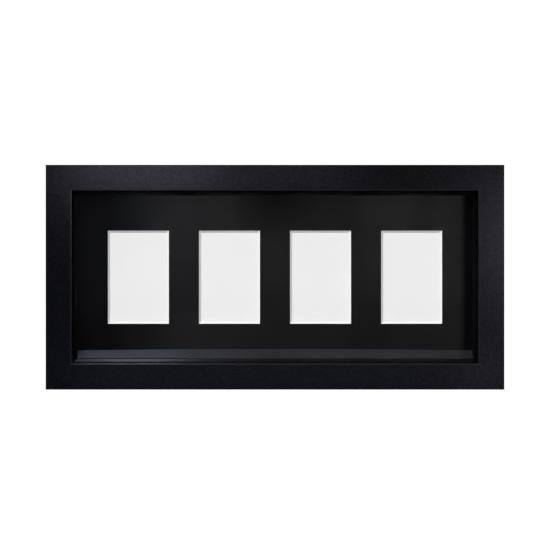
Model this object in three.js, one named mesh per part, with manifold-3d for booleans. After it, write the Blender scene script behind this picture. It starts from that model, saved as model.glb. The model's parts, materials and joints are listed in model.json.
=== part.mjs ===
// Deep box picture frame with four upright windows.
//
// Millimetres. +X is the width, +Y runs from the front of the frame to its back, and +Z is up.
// The origin is on the surface that the frame stands on, midway along its width and its depth.
// Each side of the frame is drawn once, lying along X with its outer edge down, and is then
// turned about the middle of the frame to its place.

import * as THREE from 'three';
import { mergeVertices } from 'three/addons/utils/BufferGeometryUtils.js';
import Module from 'manifold-3d';

const wasm = await Module();
wasm.setup();

// ---- Driving dimensions ----

const WIDTH = 710; // outside of the moulding
const HEIGHT = 348;
const DEPTH = 42; // moulding, front to back
const FACE = 40; // width of the moulding's flat face
const SLOPE = { across: 7, deep: 16 }; // the inner side that leads from the face back to the glass
const KNEE = { across: 3, deep: 11.5 }; // where its steep wall turns out into a flared foot
const LIP_THICK = 3; // what is left of the slope's foot in front of the glass
const ARRIS = { outer: 0.8, sight: 1.5 }; // eased edges of the face

const FIT = 0.3; // gap between pieces that touch
const SIDE_PLAY = 1; // play of the glass, mount and back board in the rebate

const GLASS_THICK = 2;
const MOUNT_THICK = 3;
const CARD_THICK = 0.8;
const BOARD_THICK = 3;
const SPACER_ACROSS = 6;
const LEDGE = { front: 0.8, back: 14, bow: 2.5, steps: 12 }; // heights of the raked strip's two edges

const WINDOW = { width: 95, height: 145, gap: 47, count: 4 };
const CARD = { width: 102, height: 152 };

const V_NAIL = { leg: 7, thick: 0.6, tall: 10, from_edge: { outer: 10, inner: 25 } };

const SCREW = { shank_r: 1.5, head_r: 3.2, head_tall: 1.8, length: 13, slot: 0.9, slot_deep: 0.8 };
const PILOT = { r: SCREW.shank_r + FIT, deep: SCREW.length };

const BUTTON = { length: 30, width: 12, thick: 1.2, from_rebate: 9, spread: 255 };

const STRAP = { width: 15, thick: 1, length: 39, screw_drops: [13, 31] };
const RING = { wire_r: 1.5, inner_width: 19, drop: 19, bend: 3, butt_gap: 0.5, steps: 40 };
const LOOP_R = { inner: RING.wire_r + FIT, outer: RING.wire_r + FIT + STRAP.thick };
const HANGER_UP = 75; // the rings' bars above the middle of the frame

const BUMPER = { foot_r: 6, top_r: 5, tall: 5, from_end: 45, from_edge: 17 };

const ROUND_STEPS = 24;

// ---- Places worked out from them ----

const HANGER_PROUD = FIT + 2 * LOOP_R.outer; // the furthest that anything stands off the back
const FRONT_Y = -(DEPTH + HANGER_PROUD) / 2;
const BACK_Y = FRONT_Y + DEPTH;
const GLASS_Y = FRONT_Y + SLOPE.deep + LIP_THICK + FIT;
const SPACER_Y = GLASS_Y + GLASS_THICK + FIT;
const BOARD_Y = BACK_Y - FIT - BOARD_THICK;
const CARD_Y = BOARD_Y - FIT - CARD_THICK;
const MOUNT_Y = CARD_Y - FIT - MOUNT_THICK;
const SPACER_DEEP = MOUNT_Y - FIT - SPACER_Y;

const REBATE = FACE; // from the outer edge to the rebate's wall
const SIGHT = FACE + SLOPE.across; // from the outer edge to the visible edge of the glass
const STACK_EDGE = REBATE + SIDE_PLAY; // from the outer edge to the edge of what the rebate holds
const STACK = { width: WIDTH - 2 * STACK_EDGE, height: HEIGHT - 2 * STACK_EDGE };
const STRAP_CENTRE = REBATE / 2; // from the outer edge

// `turn` takes a side from the bottom to its place, and `up` is +1 or -1 where the side's own X
// then runs up or down, or 0 on a level side.
const SIDES = [
  { name: 'bottom', turn: 0, up: 0, length: WIDTH, reach: HEIGHT / 2, buttons: 3 },
  { name: 'left', turn: Math.PI / 2, up: -1, length: HEIGHT, reach: WIDTH / 2, buttons: 1 },
  { name: 'top', turn: Math.PI, up: 0, length: WIDTH, reach: HEIGHT / 2, buttons: 3 },
  { name: 'right', turn: -Math.PI / 2, up: 1, length: HEIGHT, reach: WIDTH / 2, buttons: 1 },
];

const CORNERS = [
  { name: 'bottom_left', turn: 0, x: -1, z: -1 },
  { name: 'top_left', turn: Math.PI / 2, x: -1, z: 1 },
  { name: 'top_right', turn: Math.PI, x: 1, z: 1 },
  { name: 'bottom_right', turn: -Math.PI / 2, x: 1, z: -1 },
];

// ---- Materials ----

const FINISH = {
  moulding: { color: 0x17171b, roughness: 0.42, metalness: 0 },
  glass: { color: 0xdfe8e6, roughness: 0.03, metalness: 0, transparent: true, opacity: 0.3 },
  spacer: { color: 0x131316, roughness: 0.55, metalness: 0 },
  mount: { color: 0x0d0d0f, roughness: 0.9, metalness: 0 },
  card: { color: 0xececec, roughness: 0.7, metalness: 0 },
  board: { color: 0x7a5c3e, roughness: 0.8, metalness: 0 },
  zinc: { color: 0xb9bcc0, roughness: 0.35, metalness: 0.9 },
  rubber: { color: 0x1b1b1b, roughness: 0.85, metalness: 0 },
};

function place(parent, name, geometry, finish, position) {
  const mesh = new THREE.Mesh(geometry, new THREE.MeshStandardMaterial(FINISH[finish]));
  mesh.name = name;
  mesh.position.set(...position);
  parent.add(mesh);
  return mesh;
}

// ---- Shape helpers ----

function outline(points) {
  return new THREE.Shape(points.map(([x, y]) => new THREE.Vector2(x, y)));
}

function rectangle(width, height) {
  const [w, h] = [width / 2, height / 2];
  return outline([[-w, -h], [w, -h], [w, h], [-w, h]]);
}

// Turns a drawing's (x, y) into (X, Z) and its thickness into +Y.
function slab(shape, thick) {
  const options = { depth: thick, bevelEnabled: false, curveSegments: ROUND_STEPS / 2 };
  return new THREE.ExtrudeGeometry(shape, options).rotateX(Math.PI / 2).translate(0, thick, 0);
}

// Turns a section's (x, y) into (Y, Z) and its length into X, about the middle of the length.
function bar(section, length, steps = 1) {
  const geometry = new THREE.ExtrudeGeometry(section, { depth: length, bevelEnabled: false, steps });
  const basis = new THREE.Matrix4().makeBasis(
    new THREE.Vector3(0, 1, 0), new THREE.Vector3(0, 0, 1), new THREE.Vector3(1, 0, 0));
  return geometry.applyMatrix4(basis).translate(-length / 2, 0, 0);
}

// A round hole's cutter along +Y, starting at y = 0.
function rod(radius, length) {
  return slab(new THREE.Shape().absarc(0, 0, radius, 0, 2 * Math.PI), length);
}

// Moves each vertex of a shape by a rule of its place.
function reshape(geometry, rule) {
  const position = geometry.attributes.position;
  for (let i = 0; i < position.count; i += 1) {
    const moved = rule(position.getX(i), position.getY(i), position.getZ(i));
    position.setXYZ(i, ...moved);
  }
  geometry.computeVertexNormals();
  return geometry;
}

// A bar with both ends cut at 45 degrees, so that it shortens as z climbs.
function mitredBar(section, length) {
  const halfAt = (z) => length / 2 - z - FIT / Math.SQRT2;
  return reshape(bar(section, length), (x, y, z) => [Math.sign(x) * halfAt(z), y, z]);
}

function toSolid(geometry) {
  const bare = geometry.clone();
  bare.deleteAttribute('normal');
  bare.deleteAttribute('uv');
  const merged = mergeVertices(bare, 1e-4);
  const triangles = [];
  for (let i = 0; i < merged.index.count; i += 3) {
    const [a, b, c] = [0, 1, 2].map((k) => merged.index.getX(i + k));
    if (a !== b && b !== c && c !== a) {
      triangles.push(a, b, c);
    }
  }
  return new wasm.Manifold(new wasm.Mesh({
    numProp: 3,
    vertProperties: new Float32Array(merged.attributes.position.array),
    triVerts: new Uint32Array(triangles),
  }));
}

function toGeometry(solid) {
  const mesh = solid.getMesh();
  const geometry = new THREE.BufferGeometry();
  geometry.setAttribute('position', new THREE.BufferAttribute(new Float32Array(mesh.vertProperties), 3));
  geometry.setIndex(new THREE.BufferAttribute(new Uint32Array(mesh.triVerts), 1));
  geometry.computeVertexNormals();
  return geometry;
}

function cut(geometry, cutters) {
  return toGeometry(cutters.reduce((solid, cutter) => solid.subtract(toSolid(cutter)), toSolid(geometry)));
}

// ---- Moulding ----

// The section stands with its outer edge at y = 0 and its face at x = 0.
function mouldingSection() {
  const shoulder = SLOPE.deep + LIP_THICK;
  return outline([
    [ARRIS.outer, 0], [DEPTH, 0], [DEPTH, REBATE], [shoulder, REBATE], [shoulder, SIGHT],
    [SLOPE.deep, SIGHT], [KNEE.deep, FACE + KNEE.across], [ARRIS.sight, FACE],
    [0, FACE - ARRIS.sight], [0, ARRIS.outer],
  ]);
}

// A V-nail seen from the back: two legs that leave the mitre at right angles, with `grow` all round.
function vNailShape(grow = 0) {
  const low = -grow;
  const far = V_NAIL.leg + grow;
  const inner = V_NAIL.thick + grow;
  return outline([[low, low], [far, low], [far, inner], [inner, inner], [inner, far], [low, far]]);
}

// The slots that a side's two ends keep for the V-nails.
function vNailSlots(length) {
  const slots = [];
  for (const end of [-1, 1]) {
    for (const edge of Object.values(V_NAIL.from_edge)) {
      const slot = slab(vNailShape(FIT), V_NAIL.tall + 2 * FIT);
      if (end > 0) {
        slot.rotateY(-Math.PI / 2);
      }
      slots.push(slot.translate(end * (length / 2 - edge), DEPTH - V_NAIL.tall - FIT, edge));
    }
  }
  return slots;
}

function buttonPlaces(side) {
  const z = REBATE - BUTTON.from_rebate;
  return Array.from({ length: side.buttons }, (_, i) => [(i - (side.buttons - 1) / 2) * BUTTON.spread, z]);
}

function hangerScrewPlaces(side) {
  return side.up === 0 ? [] : STRAP.screw_drops.map((drop) => [side.up * (HANGER_UP - drop), STRAP_CENTRE]);
}

function railGeometry(side) {
  const holes = [...buttonPlaces(side), ...hangerScrewPlaces(side)].map(([x, z]) =>
    rod(PILOT.r, PILOT.deep + FIT).translate(x, DEPTH - PILOT.deep, z));
  return cut(mitredBar(mouldingSection(), side.length), [...vNailSlots(side.length), ...holes]);
}

function addVNails(frame) {
  for (const corner of CORNERS) {
    for (const [name, edge] of Object.entries(V_NAIL.from_edge)) {
      const x = corner.x * (WIDTH / 2 - edge);
      const z = corner.z * (HEIGHT / 2 - edge);
      const geometry = slab(vNailShape(), V_NAIL.tall);
      const nail = place(frame, `v_nail_${corner.name}_${name}`, geometry, 'zinc', [x, BACK_Y - V_NAIL.tall, z]);
      nail.rotation.y = corner.turn;
    }
  }
}

// ---- What the rebate holds ----

function spacerGeometry(side) {
  const ease = ARRIS.outer;
  const section = outline([
    [0, 0], [SPACER_DEEP, 0], [SPACER_DEEP, SPACER_ACROSS], [ease, SPACER_ACROSS], [0, SPACER_ACROSS - ease],
  ]);
  return mitredBar(section, side.length - 2 * STACK_EDGE);
}

// The raked strip that lies on the bottom spacer, with a back edge that bows up in the middle.
function ledgeGeometry() {
  const length = STACK.width - 2 * (SPACER_ACROSS + FIT);
  const section = outline([[0, 0], [SPACER_DEEP, 0], [SPACER_DEEP, LEDGE.back], [0, LEDGE.front]]);
  return reshape(bar(section, length, LEDGE.steps), (x, y, z) => {
    const bow = z > LEDGE.front + FIT ? LEDGE.bow * (1 - (2 * x / length) ** 2) : 0;
    return [x, y, z + bow];
  });
}

// One window's cutter: a block with sides at 45 degrees, widest at the front of the mount.
function windowCutter() {
  const past = 1;
  const block = new THREE.BoxGeometry(1, MOUNT_THICK + 2 * past, 1).translate(0, MOUNT_THICK / 2, 0);
  return reshape(block, (x, y, z) => [x * (WINDOW.width - 2 * y), y, z * (WINDOW.height - 2 * y)]);
}

function windowCentres() {
  const pitch = WINDOW.width + WINDOW.gap;
  return Array.from({ length: WINDOW.count }, (_, i) => (i - (WINDOW.count - 1) / 2) * pitch);
}

function addStack(frame) {
  const sheet = (thick) => slab(rectangle(STACK.width, STACK.height), thick);
  const windows = windowCentres().map((x) => windowCutter().translate(x, 0, 0));
  place(frame, 'glass_pane', sheet(GLASS_THICK), 'glass', [0, GLASS_Y, 0]);
  place(frame, 'mount_board', cut(sheet(MOUNT_THICK), windows), 'mount', [0, MOUNT_Y, 0]);
  windowCentres().forEach((x, i) => {
    const card = slab(rectangle(CARD.width, CARD.height), CARD_THICK);
    place(frame, `card_${i + 1}`, card, 'card', [x, CARD_Y, 0]);
  });
  place(frame, 'back_board', sheet(BOARD_THICK), 'board', [0, BOARD_Y, 0]);
  const ledgeZ = -STACK.height / 2 + SPACER_ACROSS + FIT;
  place(frame, 'ledge_strip', ledgeGeometry(), 'spacer', [0, SPACER_Y, ledgeZ]);
}

// ---- Hardware on the back ----

// A pan-head screw along +Y, with the underside of its head at y = 0 and a cross in the head.
function screwGeometry() {
  const { shank_r: shank, head_r: head, head_tall: tall, length } = SCREW;
  const profile = [
    [0, -length], [shank, 2 * shank - length], [shank, 0], [head, 0], [head, tall * 0.45],
    [head * 0.6, tall], [0, tall],
  ].map(([r, y]) => new THREE.Vector2(r, y));
  const slots = [[head * 1.2, SCREW.slot], [SCREW.slot, head * 1.2]].map(([x, z]) =>
    new THREE.BoxGeometry(x, 2 * SCREW.slot_deep, z).translate(0, tall, 0));
  return cut(new THREE.LatheGeometry(profile, ROUND_STEPS / 2), slots);
}

// A round-ended strip that turns on its screw at the origin. Its tongue points up, over the back board.
function buttonGeometry() {
  const r = BUTTON.width / 2;
  const shape = new THREE.Shape();
  shape.absarc(0, 0, r, Math.PI, 2 * Math.PI);
  shape.absarc(0, BUTTON.length - BUTTON.width, r, 0, Math.PI);
  shape.holes.push(new THREE.Path().absarc(0, 0, PILOT.r, 0, 2 * Math.PI));
  return slab(shape, BUTTON.thick);
}

function addTurnButtons(group, side) {
  const y = BACK_Y + FIT;
  buttonPlaces(side).forEach(([x, fromEdge], i) => {
    const label = side.buttons > 1 ? `${side.name}_${i + 1}` : side.name;
    const z = fromEdge - side.reach;
    place(group, `turn_button_${label}`, buttonGeometry(), 'zinc', [x, y, z]);
    place(group, `turn_screw_${label}`, screwGeometry(), 'zinc', [x, y + BUTTON.thick + FIT, z]);
  });
}

// A strip hanging below the ring's bar, which is at the origin, and curled round it.
function strapGeometry() {
  const { inner, outer } = LOOP_R;
  const section = new THREE.Shape();
  section.moveTo(-outer, -STRAP.length);
  section.lineTo(-inner, -STRAP.length);
  section.absarc(0, 0, inner, Math.PI, -Math.PI / 2, true);
  section.absarc(0, 0, outer, -Math.PI / 2, Math.PI, false);
  const holes = STRAP.screw_drops.map((drop) =>
    rod(PILOT.r, STRAP.thick + 2 * FIT).translate(0, -outer - FIT, -drop));
  return cut(bar(section, STRAP.width), holes);
}

// The D-ring: one bent wire that hangs from its straight bar, where its two ends meet.
function ringGeometry() {
  const half = RING.inner_width / 2 + RING.wire_r;
  const wire = new THREE.Path();
  wire.moveTo(RING.butt_gap / 2, 0);
  wire.absarc(half - RING.bend, -RING.bend, RING.bend, Math.PI / 2, 0, true);
  wire.absarc(0, half - RING.drop, half, 0, -Math.PI, true);
  wire.absarc(RING.bend - half, -RING.bend, RING.bend, Math.PI, Math.PI / 2, true);
  wire.lineTo(-RING.butt_gap / 2, 0);
  const points = wire.getSpacedPoints(RING.steps).map(({ x, y }) => new THREE.Vector3(x, 0, y));
  const section = new THREE.Shape().absarc(0, 0, RING.wire_r, 0, 2 * Math.PI);
  return new THREE.ExtrudeGeometry(section, {
    extrudePath: new THREE.CatmullRomCurve3(points),
    steps: RING.steps,
    curveSegments: 4,
  });
}

function addHangers(frame) {
  const barY = BACK_Y + FIT + LOOP_R.outer;
  const screwY = BACK_Y + FIT + STRAP.thick + FIT;
  for (const [name, x] of [['left', STRAP_CENTRE - WIDTH / 2], ['right', WIDTH / 2 - STRAP_CENTRE]]) {
    place(frame, `hanger_strap_${name}`, strapGeometry(), 'zinc', [x, barY, HANGER_UP]);
    place(frame, `hanger_ring_${name}`, ringGeometry(), 'zinc', [x, barY, HANGER_UP]);
    STRAP.screw_drops.forEach((drop, i) => {
      place(frame, `hanger_screw_${name}_${i + 1}`, screwGeometry(), 'zinc', [x, screwY, HANGER_UP - drop]);
    });
  }
}

function addBumpers(frame) {
  const { foot_r: foot, top_r: top, tall } = BUMPER;
  const profile = [[0, 0], [foot, 0], [foot, tall * 0.3], [top, tall], [0, tall]]
    .map(([r, y]) => new THREE.Vector2(r, y));
  for (const [name, end] of [['left', -1], ['right', 1]]) {
    const geometry = new THREE.LatheGeometry(profile, ROUND_STEPS);
    const x = end * (WIDTH / 2 - BUMPER.from_end);
    place(frame, `bumper_${name}`, geometry, 'rubber', [x, BACK_Y + FIT, BUMPER.from_edge - HEIGHT / 2]);
  }
}

// ---- The whole frame ----

function buildFrame() {
  const frame = new THREE.Group();
  frame.position.z = HEIGHT / 2;
  for (const side of SIDES) {
    const group = new THREE.Group();
    group.rotation.y = side.turn;
    frame.add(group);
    place(group, `rail_${side.name}`, railGeometry(side), 'moulding', [0, FRONT_Y, -side.reach]);
    place(group, `spacer_${side.name}`, spacerGeometry(side), 'spacer', [0, SPACER_Y, STACK_EDGE - side.reach]);
    addTurnButtons(group, side);
  }
  addVNails(frame);
  addStack(frame);
  addHangers(frame);
  addBumpers(frame);
  return frame;
}

export default buildFrame();
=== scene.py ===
import json
import math

import bmesh
import bpy
from mathutils import Matrix, Vector


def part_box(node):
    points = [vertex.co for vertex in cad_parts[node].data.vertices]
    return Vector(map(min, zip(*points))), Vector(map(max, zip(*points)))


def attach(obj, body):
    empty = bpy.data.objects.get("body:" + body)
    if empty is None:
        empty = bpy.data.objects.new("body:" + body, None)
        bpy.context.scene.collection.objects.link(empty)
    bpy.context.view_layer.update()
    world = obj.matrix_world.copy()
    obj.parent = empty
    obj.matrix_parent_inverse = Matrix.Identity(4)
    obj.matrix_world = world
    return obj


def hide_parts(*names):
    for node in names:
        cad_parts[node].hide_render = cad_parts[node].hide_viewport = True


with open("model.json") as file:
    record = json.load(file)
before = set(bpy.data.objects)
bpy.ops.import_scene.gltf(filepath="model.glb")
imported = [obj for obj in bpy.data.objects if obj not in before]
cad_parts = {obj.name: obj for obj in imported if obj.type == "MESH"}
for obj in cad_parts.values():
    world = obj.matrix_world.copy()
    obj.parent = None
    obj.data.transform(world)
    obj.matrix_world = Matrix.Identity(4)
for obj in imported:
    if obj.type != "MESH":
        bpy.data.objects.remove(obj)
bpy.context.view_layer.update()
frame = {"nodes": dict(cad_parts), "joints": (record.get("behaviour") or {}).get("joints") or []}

# Everything is in metres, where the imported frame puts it: X runs across, Y from front to back, and Z up.

# ---- Places read from the frame ----

def node_middle(node):
    low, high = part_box(node)
    return (low + high) / 2


FRONT_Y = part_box("rail_bottom")[0].y
BACK_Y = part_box("rail_bottom")[1].y
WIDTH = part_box("rail_right")[1].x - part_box("rail_left")[0].x
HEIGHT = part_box("rail_top")[1].z
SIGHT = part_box("rail_bottom")[1].z  # from the outer edge to the edge of the glass that can be seen
DEPTH = BACK_Y - FRONT_Y
MID_Z = HEIGHT / 2
WINDOW_CENTRES = [node_middle(f"card_{number}").x for number in (1, 2, 3, 4)]

# ---- Sizes that the frame's boxes don't give ----

FACE = 0.040  # width of the flat face
KNEE = (0.043, 0.0115)  # across and deep, where the slope's steep wall turns out into a flared foot
SLOPE_DEEP = 0.016
LIP_THICK = 0.003
MITRE_GAP = 0.00001
WINDOW = (0.095, 0.145)
FIT = 0.0003  # play between pieces that touch
CLEAR = 0.001  # how far a cutter reaches past what it cuts
SCREW_HOLE_R = 0.0019
HEAD_TALL = 0.0018  # of a pan head

# Each side's turn about Y from the bottom, its length, and how far it lies from the frame's middle.
SIDES = {
    "bottom": (0.0, WIDTH, HEIGHT / 2),
    "left": (math.pi / 2, HEIGHT, WIDTH / 2),
    "top": (math.pi, WIDTH, HEIGHT / 2),
    "right": (-math.pi / 2, HEIGHT, WIDTH / 2),
}


# ---- Node helpers ----

def add(tree, kind, inputs=None, **settings):
    """Adds a node. An input's value is a number, a colour, or the socket that feeds it."""
    node = tree.nodes.new(kind)
    for key, value in settings.items():
        setattr(node, key, value)
    for key, value in (inputs or {}).items():
        if isinstance(value, bpy.types.NodeSocket):
            tree.links.new(value, node.inputs[key])
        else:
            node.inputs[key].default_value = value
    return node


def blank_material(name):
    """Gives the material, its node tree and its shader."""
    material = bpy.data.materials.new(name)
    material.use_nodes = True
    return material, material.node_tree, material.node_tree.nodes["Principled BSDF"]


def noise(tree, scale, stretch=(1, 1, 1), detail=4.0, roughness=0.6):
    """A noise with `scale` features to the metre, drawn out `stretch` times along each axis."""
    place = add(tree, "ShaderNodeTexCoord").outputs["Object"]
    squeezed = tuple(1 / s for s in stretch)
    mapped = add(tree, "ShaderNodeMapping", {"Vector": place, "Scale": squeezed}).outputs["Vector"]
    return add(tree, "ShaderNodeTexNoise", {
        "Vector": mapped, "Scale": scale, "Detail": detail, "Roughness": roughness,
    }).outputs["Fac"]


def between(tree, factor, low, high, start=0.3, end=0.7):
    """A number that runs from low to high as factor goes from start to end."""
    return add(tree, "ShaderNodeMapRange", {
        "Value": factor, "From Min": start, "From Max": end, "To Min": low, "To Max": high,
    }).outputs["Result"]


def ramp(tree, factor, *stops):
    """A colour ramp through stops of (position, (r, g, b))."""
    node = add(tree, "ShaderNodeValToRGB", {"Fac": factor})
    elements = node.color_ramp.elements
    while len(elements) < len(stops):
        elements.new(0.5)
    for element, (position, colour) in zip(elements, stops):
        element.position = position
        element.color = (*colour, 1)
    return node.outputs["Color"]


def bump(tree, shader, height, distance, strength=1.0):
    """Bumps of `distance` at the most. The strength may be a number or a socket."""
    normal = add(tree, "ShaderNodeBump", {"Height": height, "Distance": distance, "Strength": strength})
    tree.links.new(normal.outputs["Normal"], shader.inputs["Normal"])


def mix_values(tree, kind, *values):
    """A Math node: a sum, product or power of numbers and sockets."""
    return add(tree, "ShaderNodeMath", dict(enumerate(values)), operation=kind).outputs["Value"]


def mix_colours(tree, factor, first, second):
    """Mixes colours. A Mix node's colour sockets come after its number and vector sockets."""
    return add(tree, "ShaderNodeMix", {0: factor, 6: first, 7: second}, data_type="RGBA").outputs[2]


# ---- Materials ----

def drawn_out(along, times):
    """A stretch for noise that follows the length of a rail."""
    return tuple(1 + times * a for a in along)


def lacquer(name, along, gloss, unevenness):
    """Satin black lacquer. A faint mottle in its sheen is drawn out a little along the rail."""
    material, tree, shader = blank_material(name)
    mottle = noise(tree, 430, drawn_out(along, 0.4), detail=2)
    speckle = noise(tree, 900, detail=3)
    worn = add(tree, "ShaderNodeAttribute", attribute_name="worn").outputs["Fac"]
    colour = ramp(tree, speckle, (0.3, (0.0010, 0.0010, 0.0014)), (0.7, (0.0020, 0.0019, 0.0027)))
    rubbed = mix_colours(tree, worn, colour, (0.010, 0.010, 0.012, 1))
    tree.links.new(rubbed, shader.inputs["Base Color"])
    shader.inputs["Specular Tint"].default_value = (0.78, 0.86, 1.0, 1)
    sheen = between(tree, mottle, gloss * (1 - unevenness), gloss * (1 + unevenness))
    tree.links.new(sheen, shader.inputs["Specular IOR Level"])
    spread = 0.06 * unevenness
    tree.links.new(between(tree, mottle, 0.35 - spread, 0.35 + spread), shader.inputs["Roughness"])
    bump(tree, shader, speckle, 0.00003, between(tree, worn, 1.0, 0.1, 0, 1))
    return material


def bare_wood(name, along):
    """The unpainted back of the moulding: pale, straight-grained wood."""
    material, tree, shader = blank_material(name)
    figure = noise(tree, 260, drawn_out(along, 24), detail=5)
    pores = noise(tree, 1800, drawn_out(along, 18), detail=2)
    colour = ramp(
        tree, figure, (0.25, (0.40, 0.25, 0.13)), (0.5, (0.55, 0.38, 0.21)), (0.75, (0.66, 0.49, 0.30)),
    )
    tree.links.new(colour, shader.inputs["Base Color"])
    tree.links.new(between(tree, pores, 0.55, 0.8), shader.inputs["Roughness"])
    bump(tree, shader, pores, 0.0001, 0.6)
    return material


def mount_face():
    """Deep black mount paper with a very fine tooth."""
    material, tree, shader = blank_material("mount_face")
    tooth = noise(tree, 2600, detail=3)
    cloud = noise(tree, 45, detail=3)
    colour = ramp(tree, cloud, (0.3, (0.0016, 0.0017, 0.0021)), (0.7, (0.0026, 0.0026, 0.0031)))
    tree.links.new(colour, shader.inputs["Base Color"])
    shader.inputs["Specular IOR Level"].default_value = 0.03
    tree.links.new(between(tree, tooth, 0.85, 1.0), shader.inputs["Roughness"])
    bump(tree, shader, tooth, 0.00004, 0.5)
    return material


def mount_core():
    """The white core that the slanting window cuts show."""
    material, tree, shader = blank_material("mount_core")
    fibre = noise(tree, 1500, detail=4)
    colour = ramp(tree, fibre, (0.3, (0.80, 0.80, 0.79)), (0.7, (0.88, 0.88, 0.87)))
    tree.links.new(colour, shader.inputs["Base Color"])
    shader.inputs["Roughness"].default_value = 0.9
    shader.inputs["Specular IOR Level"].default_value = 0.2
    bump(tree, shader, fibre, 0.00005, 0.4)
    return material


def white_card():
    """Smooth white card, whose fibres hardly show."""
    material, tree, shader = blank_material("white_card")
    fibre = noise(tree, 900, detail=5)
    colour = ramp(tree, fibre, (0.3, (0.862, 0.862, 0.862)), (0.7, (0.878, 0.878, 0.878)))
    tree.links.new(colour, shader.inputs["Base Color"])
    shader.inputs["Roughness"].default_value = 0.75
    shader.inputs["Specular IOR Level"].default_value = 0.25
    bump(tree, shader, fibre, 0.00003, 0.3)
    return material


def spacer_paper(name, dark, light, roughness):
    """Smooth coated paper, which wraps the spacers and the ledge."""
    material, tree, shader = blank_material(name)
    fibre = noise(tree, 1100, (4, 1, 1), detail=4)
    cloud = noise(tree, 30, (3, 1, 1), detail=3)
    tree.links.new(ramp(tree, cloud, (0.3, dark), (0.7, light)), shader.inputs["Base Color"])
    tree.links.new(between(tree, fibre, roughness - 0.05, roughness + 0.07), shader.inputs["Roughness"])
    shader.inputs["Specular IOR Level"].default_value = 0.12
    bump(tree, shader, fibre, 0.00004, 0.4)
    return material


def picture_glass():
    """Clear glass that lets light straight through and mirrors a little of the room."""
    material, tree, shader = blank_material("picture_glass")
    tree.nodes.remove(shader)
    clear = add(tree, "ShaderNodeBsdfTransparent", {"Color": (0.990, 0.991, 0.990, 1)}).outputs["BSDF"]
    gloss = add(tree, "ShaderNodeBsdfGlossy", {"Color": (1, 1, 1, 1), "Roughness": 0.02}).outputs["BSDF"]
    # Schlick's rule, which is the same on the way in and on the way out.
    tilt = add(tree, "ShaderNodeLayerWeight", {"Blend": 0.5}).outputs["Facing"]
    mirrored = mix_values(tree, "MULTIPLY_ADD", mix_values(tree, "POWER", tilt, 5), 0.96, 0.04)
    pane = add(tree, "ShaderNodeMixShader", {0: mirrored, 1: clear, 2: gloss}).outputs["Shader"]
    tree.links.new(pane, tree.nodes["Material Output"].inputs["Surface"])
    return material


def hardboard():
    """Brown pressed hardboard with a mottled, faintly fibrous face."""
    material, tree, shader = blank_material("hardboard")
    mottle = noise(tree, 130, detail=8, roughness=0.7)
    fibre = noise(tree, 1400, (3, 1, 1), detail=4)
    colour = ramp(
        tree, mottle, (0.3, (0.17, 0.095, 0.045)), (0.5, (0.23, 0.135, 0.07)), (0.7, (0.29, 0.18, 0.10)),
    )
    tree.links.new(colour, shader.inputs["Base Color"])
    tree.links.new(between(tree, fibre, 0.45, 0.7), shader.inputs["Roughness"])
    bump(tree, shader, mix_values(tree, "ADD", mottle, fibre), 0.00008, 0.6)
    return material


def zinc_plate():
    """Bright zinc plating, slightly cloudy, with fine drawing marks."""
    material, tree, shader = blank_material("zinc_plate")
    cloud = noise(tree, 380, detail=5)
    drawn = noise(tree, 3200, (1, 1, 6), detail=2)
    colour = ramp(
        tree, cloud, (0.3, (0.50, 0.50, 0.49)), (0.55, (0.62, 0.62, 0.62)), (0.75, (0.68, 0.67, 0.62)),
    )
    tree.links.new(colour, shader.inputs["Base Color"])
    shader.inputs["Metallic"].default_value = 1.0
    tree.links.new(between(tree, cloud, 0.24, 0.42), shader.inputs["Roughness"])
    bump(tree, shader, drawn, 0.00002, 0.5)
    return material


def rubber():
    """Dull black rubber with a fine tooth."""
    material, tree, shader = blank_material("rubber")
    tooth = noise(tree, 2400, detail=4)
    colour = ramp(tree, tooth, (0.3, (0.012, 0.012, 0.012)), (0.7, (0.024, 0.024, 0.024)))
    tree.links.new(colour, shader.inputs["Base Color"])
    tree.links.new(between(tree, tooth, 0.6, 0.85), shader.inputs["Roughness"])
    bump(tree, shader, tooth, 0.00005, 0.5)
    return material


def moulding_finishes(name, along, shaded_slope_gloss):
    """In the order of a rail's material slots, which are numbered below."""
    return [
        lacquer(f"lacquer_{name}", along, gloss=0.28, unevenness=0.34),
        bare_wood(f"bare_wood_{name}", along),
        # The slope gets its own, weaker sheen than the face: painted shade on the slopes inside the frame.
        lacquer(f"slope_lacquer_{name}", along, gloss=shaded_slope_gloss, unevenness=0.05),
    ]


BARE_SLOT, SLOPE_SLOT = 1, 2
ALONG_X = (1, 0, 0)
ALONG_Z = (0, 0, 1)
# The slopes' lacquer has less sheen than the face, and the upright rails' slopes less again: painted
# shade, which darkens the slopes inside the frame, most at the left and right.
MOULDING_FINISHES = {
    ALONG_X: moulding_finishes("level", ALONG_X, shaded_slope_gloss=0.2),
    ALONG_Z: moulding_finishes("upright", ALONG_Z, shaded_slope_gloss=0.08),
}
ZINC = zinc_plate()


# ---- Mesh helpers ----

def link_object(name, data):
    """Puts a mesh, curve, lamp or camera into the scene as an object."""
    thing = bpy.data.objects.new(name, data)
    bpy.context.scene.collection.objects.link(thing)
    return thing


def smooth_rounds(mesh, degrees=35):
    """Smooth shading, except across edges that are sharper than this."""
    mesh.shade_smooth()
    mesh.set_sharp_from_angle(angle=math.radians(degrees))


def finish_mesh(name, mesh_data, materials):
    """Turns a bmesh into a piece."""
    bmesh.ops.recalc_face_normals(mesh_data, faces=mesh_data.faces)
    mesh = bpy.data.meshes.new(name)
    mesh_data.to_mesh(mesh)
    mesh_data.free()
    for material in materials:
        mesh.materials.append(material)
    smooth_rounds(mesh)
    return link_object(name, mesh)


def weigh_normals(piece):
    """Keeps the flats flat beside narrow rounds."""
    modifier = piece.modifiers.new("flat_faces", "WEIGHTED_NORMAL")
    modifier.keep_sharp = True


def soften_edges(piece, width, segments=2):
    """Rounds the sharp edges of a piece, leaving its mesh alone."""
    modifier = piece.modifiers.new("soft_edges", "BEVEL")
    modifier.width = width
    modifier.segments = segments
    modifier.limit_method = "ANGLE"
    modifier.angle_limit = math.radians(40)
    modifier.harden_normals = True


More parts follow.
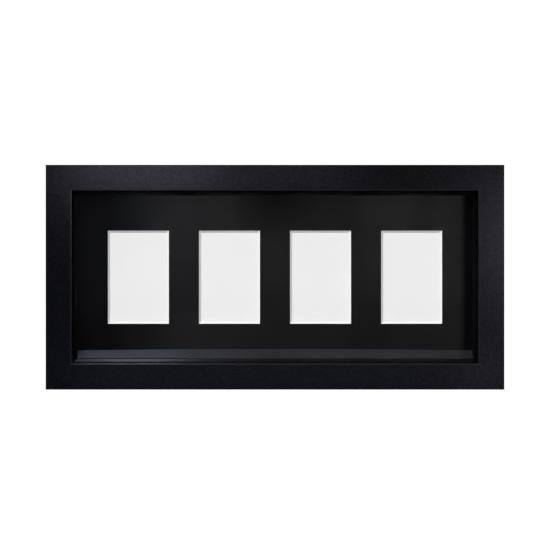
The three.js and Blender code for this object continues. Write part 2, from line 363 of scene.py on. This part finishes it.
def evaluated_mesh(piece):
    """The mesh that an object's curve or modifiers give."""
    bpy.context.view_layer.update()
    return bpy.data.meshes.new_from_object(piece.evaluated_get(bpy.context.evaluated_depsgraph_get()))


def apply_modifiers(piece):
    mesh = evaluated_mesh(piece)
    piece.modifiers.clear()
    piece.data = mesh


def carve(piece, cutter, kind="DIFFERENCE"):
    """Cuts or keeps what the cutter covers, and removes the cutter."""
    modifier = piece.modifiers.new("carve", "BOOLEAN")
    modifier.object = cutter
    modifier.operation = kind
    modifier.solver = "EXACT"
    apply_modifiers(piece)
    bpy.data.objects.remove(cutter)


def put(piece, name, place, turn=0.0, body="frame", replaces=()):
    """Moves a piece's mesh to its place, turned about Y, and ties it to its body."""
    piece.name = name
    piece.data.transform(Matrix.Translation(place) @ Matrix.Rotation(turn, 4, "Y"))
    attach(piece, body)
    if replaces:
        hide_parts(*replaces)
    return piece


def round_corners(corners, steps=5):
    """Turns corners of (x, y, radius) into points, each with whether it is on a corner's arc."""
    outline = []
    for i, (x, y, radius) in enumerate(corners):
        here = Vector((x, y))
        if radius == 0:
            outline.append((here, False))
            continue
        before = (Vector(corners[i - 1][:2]) - here).normalized()
        after = (Vector(corners[(i + 1) % len(corners)][:2]) - here).normalized()
        half = before.angle(after) / 2
        centre = here + (before + after).normalized() * radius / math.sin(half)
        start = here + before * radius / math.tan(half) - centre
        end = here + after * radius / math.tan(half) - centre
        sweep = math.copysign(math.pi - 2 * half, start.x * end.y - start.y * end.x)
        for k in range(steps + 1):
            outline.append((centre + Matrix.Rotation(sweep * k / steps, 2) @ start, True))
    return outline


def bridge(mesh_data, first, second):
    """Joins two rings of vertices, and gives the faces in the order of the rings' edges."""
    count = len(first)
    return [mesh_data.faces.new((first[i], first[(i + 1) % count], second[(i + 1) % count], second[i]))
            for i in range(count)]


def arc(sweep, steps, start=0.0):
    """Evenly spaced angles from `start` through `sweep`, both ends included."""
    return [start + sweep * k / steps for k in range(steps + 1)]


def circle(radius, steps=40, up=0.0):
    """Points round the Y axis, or round a parallel to it."""
    turns = arc(2 * math.pi, steps)[:-1]
    return [(radius * math.cos(t), up + radius * math.sin(t)) for t in turns]


def lathe(name, profile, material):
    """Turns a profile of (radius, y) about the Y axis. It starts and ends on the axis."""
    steps = 48
    mesh_data = bmesh.new()
    rings = []
    for radius, y in profile[1:-1]:
        rings.append([mesh_data.verts.new((x, y, z)) for x, z in circle(radius, steps)])
    for first, second in zip(rings, rings[1:]):
        bridge(mesh_data, first, second)
    for (_, y), ring in ((profile[0], rings[0]), (profile[-1], rings[-1])):
        pole = mesh_data.verts.new((0, y, 0))
        for k in range(steps):
            mesh_data.faces.new((ring[k], ring[(k + 1) % steps], pole))
    return finish_mesh(name, mesh_data, [material])


def plate(name, outline, y_low, y_high, material):
    """A flat piece: an (x, z) outline between two depths."""
    mesh_data = bmesh.new()
    front = [mesh_data.verts.new((x, y_low, z)) for x, z in outline]
    back = [mesh_data.verts.new((x, y_high, z)) for x, z in outline]
    mesh_data.faces.new(front)
    mesh_data.faces.new(back)
    bridge(mesh_data, front, back)
    return finish_mesh(name, mesh_data, [material])


# ---- Moulding ----

def moulding_section():
    """Corners as (across, deep, radius), from the outer edge inwards."""
    shoulder = SLOPE_DEEP + LIP_THICK
    return [
        (0, DEPTH, 0.0006),
        (0, 0, 0.0011),
        (FACE, 0, 0.0018),
        (*KNEE, 0.002),
        (SIGHT, SLOPE_DEEP, 0.0004),
        (SIGHT, shoulder, 0.0003),
        (FACE, shoulder, 0),
        (FACE, DEPTH, 0.0005),
    ]


def make_rail(side):
    """One length of moulding, mitred at both ends. Its face, back and slope have their own finishes."""
    turn, length, reach = SIDES[side]
    along = ALONG_X if side in ("top", "bottom") else ALONG_Z
    section = round_corners(moulding_section())
    arc_step = 0.001  # a face between two round points is part of an arris if it is narrower than this
    back_rim = 0.002  # how far the bare wood reaches from the back
    mesh_data = bmesh.new()
    worn = mesh_data.faces.layers.float.new("worn")
    ends = []
    for end in (-1, 1):
        ring = []
        for (across, deep), _ in section:
            x = end * (length / 2 - across - MITRE_GAP)
            ring.append(mesh_data.verts.new((x, FRONT_Y + deep, across - reach)))
        ends.append(ring)
        mesh_data.faces.new(ring)
    for i, face in enumerate(bridge(mesh_data, *ends)):
        (start, start_round), (end, end_round) = section[i], section[(i + 1) % len(section)]
        middle = (start + end) / 2
        is_arris = start_round and end_round and (end - start).length < arc_step
        face[worn] = 1.0 if is_arris and middle.y < SLOPE_DEEP / 2 else 0.0
        at_back = middle.y > DEPTH - back_rim
        in_rebate = middle.y > SLOPE_DEEP + LIP_THICK / 2 and middle.x > FACE - FIT
        if at_back or in_rebate:
            face.material_index = BARE_SLOT
        elif middle.x > FACE:
            face.material_index = SLOPE_SLOT
    rail = finish_mesh(f"moulding_{side}", mesh_data, MOULDING_FINISHES[along])
    weigh_normals(rail)
    put(rail, f"moulding_{side}", (0, 0, MID_Z), turn, replaces=[f"rail_{side}"])


# ---- What the rebate holds ----

def make_mount():
    """The mount board: a sheet with four windows whose sides slant in towards the back."""
    low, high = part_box("mount_board")
    thick = high.y - low.y
    core_slot = 1
    mesh_data = bmesh.new()

    def layer(y, narrower):
        """The board's points at one depth, in columns, where the windows are narrower on every side."""
        half_w = WINDOW[0] / 2 - narrower
        half_h = WINDOW[1] / 2 - narrower
        columns = [low.x, *[c + s * half_w for c in WINDOW_CENTRES for s in (-1, 1)], high.x]
        rows = [low.z, MID_Z - half_h, MID_Z + half_h, high.z]
        return [[mesh_data.verts.new((x, y, z)) for z in rows] for x in columns]

    front = layer(low.y, 0)
    back = layer(high.y, thick)
    last_column, last_row = len(front) - 1, len(front[0]) - 1

    def cell(grid, i, j):
        return [grid[i][j], grid[i + 1][j], grid[i + 1][j + 1], grid[i][j + 1]]

    cuts = []
    for i in range(last_column):
        for j in range(last_row):
            is_window = i % 2 == 1 and j == 1
            if is_window:
                cuts += bridge(mesh_data, cell(front, i, j), cell(back, i, j))
            else:
                mesh_data.faces.new(cell(front, i, j))
                cuts.append(mesh_data.faces.new(cell(back, i, j)))
    rim = [(i, 0) for i in range(last_column)]
    rim += [(last_column, j) for j in range(last_row)]
    rim += [(i, last_row) for i in range(last_column, 0, -1)]
    rim += [(0, j) for j in range(last_row, 0, -1)]
    cuts += bridge(mesh_data, [front[i][j] for i, j in rim], [back[i][j] for i, j in rim])
    for face in cuts:
        face.material_index = core_slot
    mount = finish_mesh("window_mount", mesh_data, [mount_face(), mount_core()])
    put(mount, "window_mount", (0, 0, 0), replaces=["mount_board"])


def make_ledge():
    """The raked strip below the mount, with rounded edges. Its back edge bows up in the middle."""
    low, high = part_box("ledge_strip")
    bow = 0.0025
    lip = 0.0009  # height of the front edge
    wide = high.y - low.y
    top = high.z - low.z - bow
    corners = [(0, 0, 0.0002), (0, lip, 0.0004), (wide, top, 0.0008), (wide, 0, 0.0002)]
    section = round_corners(corners, 4)
    steps = 48
    mesh_data = bmesh.new()
    rings = []
    for k in range(steps + 1):
        along = 2 * k / steps - 1
        rise = bow * (1 - along ** 2)
        ring = []
        for (deep, up), _ in section:
            lift = rise * max(0, up / top) * (deep / wide)
            ring.append(mesh_data.verts.new((along * high.x, low.y + deep, low.z + up + lift)))
        rings.append(ring)
    for first, second in zip(rings, rings[1:]):
        bridge(mesh_data, first, second)
    mesh_data.faces.new(rings[0])
    mesh_data.faces.new(rings[-1])
    # The ledge's paper is lighter and bluer than the same paper on the spacers. This is partly its own
    # tone and partly painted light: the cool light that falls on the raked ledge.
    paper = spacer_paper("ledge_paper_and_light", (0.0116, 0.0120, 0.0150), (0.0144, 0.0149, 0.0185), 0.42)
    ledge = finish_mesh("raked_ledge", mesh_data, [paper])
    weigh_normals(ledge)
    put(ledge, "raked_ledge", (0, 0, 0), replaces=["ledge_strip"])


def carry_over(node, material, edge=0.0):
    """Gives a CAD node its finish, and softens its edges by a modifier."""
    piece = frame["nodes"][node]
    piece.data.materials.clear()
    piece.data.materials.append(material)
    if edge:
        soften_edges(piece, edge)


# ---- Hardware on the back ----

def make_v_nails():
    """L-shaped steel strips across the mitres, standing a little proud of the wood."""
    thick, proud = 0.0006, 0.0001
    for node in list(frame["nodes"]):
        if not node.startswith("v_nail_"):
            continue
        low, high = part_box(node)
        # The L's angle points to the frame's nearest corner.
        near_x, far_x = (low.x, high.x) if low.x < 0 else (high.x, low.x)
        near_z, far_z = (low.z, high.z) if low.z < MID_Z else (high.z, low.z)
        leg_x = near_x + math.copysign(thick, far_x - near_x)
        leg_z = near_z + math.copysign(thick, far_z - near_z)
        outline = [
            (near_x, near_z), (far_x, near_z), (far_x, leg_z),
            (leg_x, leg_z), (leg_x, far_z), (near_x, far_z),
        ]
        nail = plate(node, outline, low.y, high.y + proud, ZINC)
        soften_edges(nail, proud / 2)
        put(nail, node.replace("v_nail", "mitre_nail"), (0, 0, 0), replaces=[node])


def make_screw():
    """A pan-head wood screw along Y, with its head's underside at y = 0 and a cross recess."""
    low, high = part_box("turn_screw_left")
    head_r = (high.z - low.z) / 2
    thread_r, length, pitch = 0.0015, 0.013, 0.0011
    plain_r, plain_length = 0.8 * thread_r, 0.004
    ridges = int((length - plain_length) / pitch)
    profile = [(0, -length)]
    for k in range(ridges):
        y = -length + (k + 0.5) * pitch
        taper = min(1, 0.25 + k / 4)  # towards the point
        core_r = thread_r * taper * 0.72
        profile += [(core_r, y), (min(thread_r, core_r * 1.4), y + pitch / 2)]
    profile += [(plain_r, -length + (ridges + 0.7) * pitch), (plain_r, -0.0002), (head_r * 0.96, 0)]
    for t in arc(math.pi / 2, 8):
        profile.append((head_r * (0.55 + 0.45 * math.cos(t)), HEAD_TALL * (0.25 + 0.7 * math.sin(t))))
    profile += [(0, HEAD_TALL * 0.97)]
    screw = lathe("screw", profile, ZINC)
    long, narrow = 0.0019, 0.00042  # half the length and half the width of the recess's arms
    for across, up in ((long, narrow), (narrow, long)):
        outline = [(-across, -up), (across, -up), (across, up), (-across, up)]
        carve(screw, plate("recess", outline, HEAD_TALL * 0.4, HEAD_TALL * 1.4, ZINC))
    smooth_rounds(screw.data)
    return screw


def make_button():
    """A stamped strip with round ends, whose screw hole is at the origin and whose tongue points up."""
    low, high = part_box("turn_button_top_2")
    radius = (high.x - low.x) / 2
    tongue = high.z - low.z - 2 * radius
    half_turn = arc(math.pi, 24)
    outline = [(radius * math.cos(t), tongue + radius * math.sin(t)) for t in half_turn]
    outline += [(-radius * math.cos(t), -radius * math.sin(t)) for t in half_turn]
    button = plate("button", outline, 0, high.y - low.y, ZINC)
    carve(button, plate("hole", circle(SCREW_HOLE_R), -CLEAR, high.y - low.y + CLEAR, ZINC))
    soften_edges(button, 0.00025, 3)
    apply_modifiers(button)
    return button


def copy_of(pattern, name):
    return link_object(name, pattern.data.copy())


def make_turn_buttons(screw):
    """A button at each of its joints. Every screw's recess stands at its own angle."""
    button = make_button()
    for joint in frame["joints"]:
        if not joint["name"].startswith("turn_"):
            continue
        node = joint["child"]
        label = node.removeprefix("turn_button_")
        side = label.split("_")[0]
        pivot = Vector(joint["pos_m"])
        low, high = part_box(node)
        place = (pivot.x, low.y, pivot.z)
        put(copy_of(button, node), f"button_{label}", place, SIDES[side][0], node, [node])
        turn = 0.6 + 1.7 * pivot.x + 2.3 * pivot.z
        screw_place = (pivot.x, high.y + FIT, pivot.z)
        put(
            copy_of(screw, node), f"button_screw_{label}", screw_place, turn,
            replaces=[f"turn_screw_{label}"],
        )
    bpy.data.objects.remove(button)


def make_strap():
    """The hanger's strip, curled round the ring's bar, which lies along X through the origin."""
    low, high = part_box("hanger_strap_left")
    half_width = (high.x - low.x) / 2
    inner, outer = 0.0018, 0.0028  # radii of the curl
    long = 0.039  # from the bar down to the end
    curl = arc(-1.5 * math.pi, 36, start=math.pi)
    section = [(-outer, -long), (-inner, -long)]
    section += [(inner * math.cos(t), inner * math.sin(t)) for t in curl]
    section += [(outer * math.cos(t), outer * math.sin(t)) for t in reversed(curl)]
    mesh_data = bmesh.new()
    ends = [[mesh_data.verts.new((x, y, z)) for y, z in section] for x in (-half_width, half_width)]
    bridge(mesh_data, *ends)
    mesh_data.faces.new(ends[0])
    mesh_data.faces.new(ends[1])
    strap = finish_mesh("strap", mesh_data, [ZINC])
    for drop in (0.013, 0.031):
        hole = circle(SCREW_HOLE_R, up=-drop)
        carve(strap, plate("hole", hole, -outer - CLEAR, -inner + CLEAR, ZINC))
    corner_r = 0.003
    side_x, top_z, turn_z = half_width + CLEAR, outer + CLEAR, corner_r + CLEAR - long
    kept = round_corners([
        (-side_x, top_z, 0),
        (-side_x, turn_z, 0),
        (-half_width, -long, corner_r),
        (half_width, -long, corner_r),
        (side_x, turn_z, 0),
        (side_x, top_z, 0),
    ], 8)
    outline = [tuple(point) for point, _ in kept]
    carve(strap, plate("end", outline, -outer - CLEAR, outer + CLEAR, ZINC), "INTERSECT")
    soften_edges(strap, 0.00015)
    apply_modifiers(strap)
    return strap


def make_ring():
    """The D-ring: one bent wire hanging from its straight bar, where its two ends meet."""
    low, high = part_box("hanger_ring_left")
    wire = (high.y - low.y) / 2
    half = (high.x - low.x) / 2 - wire
    drop = high.z - low.z - 2 * wire
    bend = 0.003  # radius at the ends of the bar
    gap = 0.00015  # half of what is left between the wire's ends
    right = [(gap, 0)]
    for t in arc(math.pi / 2, 8):
        right.append((half - bend + bend * math.sin(t), -bend + bend * math.cos(t)))
    for t in arc(math.pi / 2, 24):
        right.append((half * math.cos(t), half - drop - half * math.sin(t)))
    path = right + [(-x, z) for x, z in reversed(right[:-1])]
    curve = bpy.data.curves.new("ring", "CURVE")
    curve.dimensions = "3D"
    curve.bevel_depth = wire * 0.995
    curve.bevel_resolution = 6
    curve.use_fill_caps = True
    spline = curve.splines.new("POLY")
    spline.points.add(len(path) - 1)
    for point, (x, z) in zip(spline.points, path):
        point.co = (x, 0, z, 1)
    drawn = link_object("drawn_ring", curve)
    mesh = evaluated_mesh(drawn)
    bpy.data.objects.remove(drawn)
    mesh.materials.clear()
    mesh.materials.append(ZINC)
    smooth_rounds(mesh, 50)
    return link_object("ring", mesh)


def make_hangers(screw):
    """A strap, a ring and two screws at each of the ring's joints."""
    strap, ring = make_strap(), make_ring()
    for joint in frame["joints"]:
        if not joint["name"].startswith("ring_"):
            continue
        side = joint["child"].removeprefix("hanger_ring_")
        bar = Vector(joint["pos_m"])
        put(copy_of(strap, side), f"strap_{side}", bar, 0, replaces=[f"hanger_strap_{side}"])
        put(copy_of(ring, side), f"d_ring_{side}", bar, 0, joint["child"], [joint["child"]])
        for number in (1, 2):
            node = f"hanger_screw_{side}_{number}"
            middle = node_middle(node)
            place = (middle.x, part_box(node)[1].y - HEAD_TALL, middle.z)
            turn = 0.9 * number + 3 * bar.x
            name = f"strap_screw_{side}_{number}"
            put(copy_of(screw, node), name, place, turn, replaces=[node])
    for pattern in (strap, ring):
        bpy.data.objects.remove(pattern)


def make_bumpers():
    """Round rubber pads with a domed edge and a flat back."""
    low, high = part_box("bumper_left")
    radius = (high.x - low.x) / 2
    tall = high.y - low.y
    profile = [(0, 0), (radius * 0.97, 0), (radius, tall * 0.06), (radius, tall * 0.26)]
    for t in arc(math.pi / 2, 10):
        profile.append((radius * (0.83 + 0.17 * math.cos(t)), tall * (0.3 + 0.7 * math.sin(t))))
    profile += [(0, tall)]
    material = rubber()
    for side in ("left", "right"):
        node = f"bumper_{side}"
        middle = node_middle(node)
        pad = lathe(node, profile, material)
        put(pad, f"wall_pad_{side}", (middle.x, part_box(node)[0].y, middle.z), 0, replaces=[node])


# ---- Stage, lights and camera ----

def stage_piece(name, corners, material):
    """A flat sheet of the studio, which isn't part of the object."""
    mesh = bpy.data.meshes.new(name)
    mesh.from_pydata(corners, [], [(0, 1, 2, 3)])
    mesh.materials.append(material)
    piece = link_object(name, mesh)
    return piece


FLOOR_GLOW = 0.75
ROOM_GREY = (0.100, 0.107, 0.140)


def make_floor():
    """Pale paper, lit up to white. Its mirrored image is dim in front of the frame, bright behind it."""
    material, tree, shader = blank_material("floor")
    rays = add(tree, "ShaderNodeLightPath").outputs
    shader.inputs["Base Color"].default_value = (0.9, 0.9, 0.9, 1)
    shader.inputs["Roughness"].default_value = 0.9
    shader.inputs["Specular IOR Level"].default_value = 0.0
    shader.inputs["Emission Color"].default_value = (1, 1, 1, 1)
    glow = mix_values(tree, "MULTIPLY", rays["Is Camera Ray"], FLOOR_GLOW)
    tree.links.new(glow, shader.inputs["Emission Strength"])
    place = add(tree, "ShaderNodeTexCoord").outputs["Object"]
    depth = add(tree, "ShaderNodeSeparateXYZ", {0: place}).outputs["Y"]
    behind = between(tree, depth, 0, 1, 0.02, 0.15)
    mirrored = ramp(tree, behind, (0.0, ROOM_GREY), (1.0, (0.9, 0.9, 0.9)))
    image = add(tree, "ShaderNodeEmission", {"Color": mirrored}).outputs["Emission"]
    mixed = add(tree, "ShaderNodeMixShader", {
        0: rays["Is Glossy Ray"], 1: shader.outputs["BSDF"], 2: image,
    }).outputs["Shader"]
    tree.links.new(mixed, tree.nodes["Material Output"].inputs["Surface"])
    far = 15
    corners = [(-far, -far, 0), (far, -far, 0), (far, far, 0), (-far, far, 0)]
    return stage_piece("floor", corners, material)


SCREEN_Y = FRONT_Y - 1.25
SCREEN_GAP = (0.0, SCREEN_Y, 0.33)  # the middle of a dark gap in the screen's glow
SCREEN_LOW = (-0.7, 0.01)  # across and up
SCREEN_HIGH = (1.1, 1.0)
SCREEN_GLOW = 0.17
COOL_GREY = (0.9, 0.97, 1.12)
WARM_GREY = (1.04, 0.96, 1.00)


def make_screen():
    """A cloudy grey screen in front of the frame, in place of a room. Only glossy surfaces see it."""
    material, tree, shader = blank_material("screen")
    tree.nodes.remove(shader)
    place = add(tree, "ShaderNodeTexCoord").outputs["Object"]
    axes = add(tree, "ShaderNodeSeparateXYZ", {0: place}).outputs
    across, up = axes["X"], axes["Z"]
    from_gap = add(
        tree, "ShaderNodeVectorMath", {0: place, 1: SCREEN_GAP}, operation="DISTANCE",
    ).outputs["Value"]
    cells = add(
        tree, "ShaderNodeTexVoronoi", {"Vector": place, "Scale": 7.5}, distance="CHEBYCHEV",
    ).outputs["Color"]
    clouds = noise(tree, 6.5, (1, 1, 1.8), detail=3, roughness=0.5)
    shades = [
        between(tree, cells, 0.84, 1.16, 0, 1),
        between(tree, clouds, 0.68, 1.2, 0.32, 0.68),
        between(tree, across, 0.25, 1.0, -0.33, -0.2),  # dim at the left
        between(tree, across, 1.0, 0.02, 0.368, 0.380),  # dark beyond an edge at the right
        between(tree, up, 0.6, 1.0, 0.03, 0.2),  # a little dimmer low down
        between(tree, from_gap, 0.5, 1.0, 0.02, 0.09),
    ]
    strength = SCREEN_GLOW
    for shade in shades:
        strength = mix_values(tree, "MULTIPLY", shade, strength)
    colour = ramp(tree, between(tree, across, 0, 1, -0.3, -0.1), (0.0, COOL_GREY), (1.0, WARM_GREY))
    glow = add(tree, "ShaderNodeEmission", {"Color": colour, "Strength": strength}).outputs["Emission"]
    tree.links.new(glow, tree.nodes["Material Output"].inputs["Surface"])
    (left, bottom), (right, top) = SCREEN_LOW, SCREEN_HIGH
    corners = [(x, SCREEN_Y, z) for x, z in ((left, bottom), (right, bottom), (right, top), (left, top))]
    screen = stage_piece("screen", corners, material)
    screen.visible_camera = False
    screen.visible_diffuse = False
    screen.visible_transmission = False
    screen.visible_shadow = False


FILL = 0.41
BACKDROP = 1.1  # enough to come out white


def make_world():
    """White for the camera, and soft light all round. Its mirrored image is dim in front."""
    world = bpy.data.worlds.new("studio")
    bpy.context.scene.world = world
    world.use_nodes = True
    world.cycles.sampling_method = "NONE"
    tree = world.node_tree
    tree.nodes.clear()
    rays = add(tree, "ShaderNodeLightPath").outputs
    direction = add(tree, "ShaderNodeTexCoord").outputs["Generated"]
    axes = add(tree, "ShaderNodeSeparateXYZ", {0: direction}).outputs
    ceiling = between(tree, axes["Z"], 0.02, 0.5, 0.35, 0.95)
    behind = between(tree, axes["Y"], 0.0, 0.9, 0.1, 0.6)

    def white(strength):
        inputs = {"Color": (1, 1, 1, 1), "Strength": strength}
        return add(tree, "ShaderNodeBackground", inputs).outputs["Background"]

    def choose(ray, otherwise, shader):
        inputs = {0: rays[ray], 1: otherwise, 2: shader}
        return add(tree, "ShaderNodeMixShader", inputs).outputs["Shader"]

    mirrored = white(mix_values(tree, "ADD", ceiling, behind))
    whole = choose("Is Camera Ray", choose("Is Glossy Ray", white(FILL), mirrored), white(BACKDROP))
    tree.links.new(whole, add(tree, "ShaderNodeOutputWorld").inputs["Surface"])


def facing(direction):
    """The turn that points a lamp this way."""
    return Vector(direction).to_track_quat("-Z", "Y").to_euler()


def make_sun(name, direction, energy, spared):
    """Soft, even light that shows in no mirror. It leaves one piece of the studio alone."""
    data = bpy.data.lights.new(name, "SUN")
    data.angle = math.radians(20)
    data.energy = energy
    sun = link_object(name, data)
    sun.rotation_euler = facing(direction)
    sun.visible_glossy = False
    unlit = bpy.data.collections.new(f"unlit_by_{name}")
    unlit.objects.link(spared)
    sun.light_linking.receiver_collection = unlit
    unlit.collection_objects[0].light_linking.link_state = "EXCLUDE"


def make_sheen(name, place, target, size, power, colour, lights_only):
    """A soft light that shows only as sheen, kept to the pieces named, or shared by all."""
    data = bpy.data.lights.new(name, "AREA")
    data.shape = "RECTANGLE"
    data.size, data.size_y = size
    data.energy = power
    data.color = colour
    lamp = link_object(name, data)
    lamp.location = place
    lamp.rotation_euler = facing(Vector(target) - Vector(place))
    lamp.visible_camera = False
    lamp.visible_diffuse = False
    if lights_only:
        lit = bpy.data.collections.new(f"lit_by_{name}")
        for piece in lights_only:
            lit.objects.link(bpy.data.objects[piece])
        lamp.light_linking.receiver_collection = lit


RAILS = tuple(f"moulding_{side}" for side in SIDES)
SIDE_X = WIDTH / 2

# Each light's place, the point it faces, and its width and height, and then its power, its colour
# and the pieces it is kept to.
SHEENS = {
    # On the flat face: strong at the top left and on the right, and faint along the bottom.
    "upper_left": (
        (-0.23, FRONT_Y - 0.3, 0.353), (-0.23, FRONT_Y, 0.337), (0.24, 0.03),
        0.165, (1.0, 0.88, 0.95), RAILS,
    ),
    "upper_middle": (
        (-0.08, FRONT_Y - 0.3, 0.351), (-0.08, FRONT_Y, 0.335), (0.42, 0.03),
        0.1, (1.0, 0.86, 0.98), RAILS,
    ),
    "right": (
        (0.432, FRONT_Y - 0.546, 0.238), (0.36, FRONT_Y, 0.235), (0.03, 0.19),
        0.33, (1.0, 0.85, 0.92), RAILS,
    ),
    "low": (
        (0.01, FRONT_Y - 0.25, 0.02), (0.01, FRONT_Y, 0.02), (0.68, 0.02),
        0.056, (0.92, 0.91, 1.0), RAILS,
    ),
    "low_right": (
        (0.36, FRONT_Y - 0.296, 0.014), (0.345, FRONT_Y, 0.02), (0.05, 0.02),
        0.017, (1.0, 0.9, 0.98), RAILS,
    ),
    # Inside the frame: on the bottom rail's slope and on the ledge, both brighter at the left.
    "slope": (
        (-0.23, FRONT_Y - 0.026, 0.28), (-0.23, -0.02, 0.04), (0.14, 0.02),
        0.8, (0.95, 0.98, 1.0), ("moulding_bottom",),
    ),
    "ledge_left": (
        (-0.28, FRONT_Y - 0.096, 0.36), (-0.26, 0, 0.05), (0.2, 0.04),
        2.1, (0.62, 0.72, 1.0), ("raked_ledge",),
    ),
    "ledge": (
        (0.19, FRONT_Y - 0.176, 0.4), (0.19, 0, 0.05), (0.2, 0.05),
        0.6, (0.85, 0.88, 1.0), ("raked_ledge",),
    ),
    # Along edges: the left rail's inner edge, and both ends of the frame from behind.
    "arris_left": (
        (0.065, FRONT_Y - 0.216, 0.42), (-0.315, FRONT_Y, 0.3), (0.1, 0.1),
        2.4, (0.9, 0.9, 1.0), ("moulding_left",),
    ),
    "rim_left": ((-1.6, 0.35, 0.9), (-SIDE_X, 0, 0.2), (0.8, 1.2), 3.0, (0.98, 0.99, 1.0), ()),
    "rim_right": ((1.6, 0.35, 0.9), (SIDE_X, 0, 0.2), (0.8, 1.2), 3.0, (1.0, 0.99, 0.98), ()),
}


def make_lights(floor):
    """Called once the pieces are made, because some lights are kept to some of them."""
    make_sun("key", (0.40, 0.75, -0.53), energy=3.25, spared=floor)
    make_sun("back_light", (-0.35, -0.75, -0.55), energy=2.6, spared=floor)
    for name, sheen in SHEENS.items():
        make_sheen(name, *sheen)


def make_camera():
    """Square on to the front, and far back, so that the four outer edges run true."""
    distance = 4.5
    share = 0.8343  # of the picture's width that the frame fills
    lift = 0.0034  # above the frame's middle
    data = bpy.data.cameras.new("camera")
    data.sensor_width = 36
    data.lens = data.sensor_width * share * distance / WIDTH
    camera = link_object("camera", data)
    camera.location = (0, FRONT_Y - distance, MID_Z + lift)
    camera.rotation_euler = (math.pi / 2, 0, 0)
    bpy.context.scene.camera = camera


# ---- The whole scene ----

def build():
    make_camera()
    make_world()
    make_screen()
    for side in SIDES:
        make_rail(side)
    make_mount()
    make_ledge()
    wrapped = spacer_paper("spacer_paper", (0.003, 0.003, 0.0035), (0.006, 0.006, 0.007), 0.55)
    card = white_card()
    for node in frame["nodes"]:
        if node.startswith("spacer_"):
            carry_over(node, wrapped, 0.0003)
        elif node.startswith("card_"):
            carry_over(node, card)
    carry_over("glass_pane", picture_glass(), 0.0002)
    carry_over("back_board", hardboard(), 0.0004)
    make_v_nails()
    screw = make_screw()
    make_turn_buttons(screw)
    make_hangers(screw)
    bpy.data.objects.remove(screw)
    make_bumpers()
    make_lights(make_floor())
    bpy.context.scene.view_settings.view_transform = "Standard"


build()
